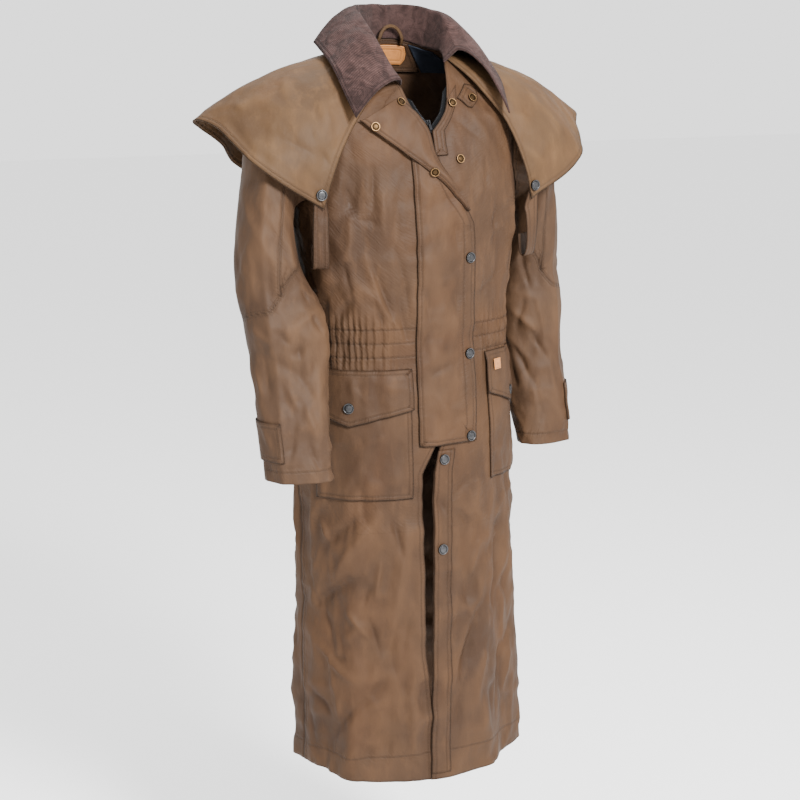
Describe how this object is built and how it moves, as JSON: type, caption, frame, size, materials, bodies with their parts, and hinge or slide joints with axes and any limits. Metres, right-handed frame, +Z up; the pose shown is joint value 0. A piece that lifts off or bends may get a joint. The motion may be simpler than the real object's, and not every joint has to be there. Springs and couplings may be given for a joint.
{
  "type": "duster coat",
  "caption": "Full-length open-fronted riding duster coat in waxed cotton with a shoulder cape, corduroy collar, storm flap over a zip, gathered waist and patch pockets, hollow as if worn.",
  "frame": {"origin": "middle of the neck, where the coat hangs on its wearer", "axes": "+Z up, the front of the coat faces -Y, the wearer's left is +X"},
  "size_m": [0.739, 0.3587, 1.3542],
  "materials": {
    "cloth_body": "waxed cotton, soft sheen",
    "cloth_sleeve": "waxed cotton, soft sheen",
    "cloth_cape": "waxed cotton, soft sheen",
    "corduroy": "fine corduroy",
    "zip_tape": "matte",
    "lining": "soft sheen",
    "leather": "smooth",
    "snap_silver": "antique silver",
    "snap_brass": "antique brass",
    "zip_metal": "black"
  },
  "bodies": {
    "coat": {"back": "cloth_body", "back_neck_facing": "cloth_body", "cape": "cloth_cape", "cape_strap_left": "cloth_body", "cape_strap_right": "cloth_body", "collar": "corduroy", "cuff_tab_left": "cloth_sleeve", "cuff_tab_right": "cloth_sleeve", "front_left": "cloth_body", "front_right": "cloth_body", "hanging_loop": "cloth_body", "leather_label": "leather", "leather_patch": "leather", "lining_neck": "lining", "placket_left": "cloth_body", "pocket_left": "cloth_body", "pocket_left_flap": "cloth_body", "pocket_right": "cloth_body", "pocket_right_flap": "cloth_body", "skirt_placket_left": "cloth_body", "sleeve_left": "cloth_sleeve", "sleeve_left_lower": "cloth_sleeve", "sleeve_right": "cloth_sleeve", "sleeve_right_lower": "cloth_sleeve", "snap_cape_left": "snap_silver", "snap_cape_right": "snap_silver", "snap_flap_1": "snap_silver", "snap_flap_2": "snap_silver", "snap_flap_3": "snap_silver", "snap_placket": "snap_brass", "snap_pocket_left": "snap_silver", "snap_pocket_right": "snap_silver", "snap_skirt_1": "snap_silver", "snap_skirt_2": "snap_silver", "snap_throat": "snap_brass", "snap_turned_1": "snap_brass", "snap_turned_2": "snap_brass", "snap_turned_3": "snap_brass", "storm_flap": "cloth_body", "storm_flap_turned": "cloth_body", "stud_left": "snap_brass", "throat_tab": "cloth_body", "zip_slider": "zip_metal", "zip_tape_left": "zip_tape", "zip_tape_lower_left": "zip_tape", "zip_tape_lower_right": "zip_tape", "zip_tape_right": "zip_tape"},
    "pull": {"zip_pull": "zip_metal"}
  },
  "joints": [
    {"name": "zip_pull_swing", "type": "hinge", "parent": "coat", "child": "pull", "pos_m": [0, -0.10394, -0.10304], "axis": [1, 0, 0], "range_deg": [-165, 0]}
  ]
}
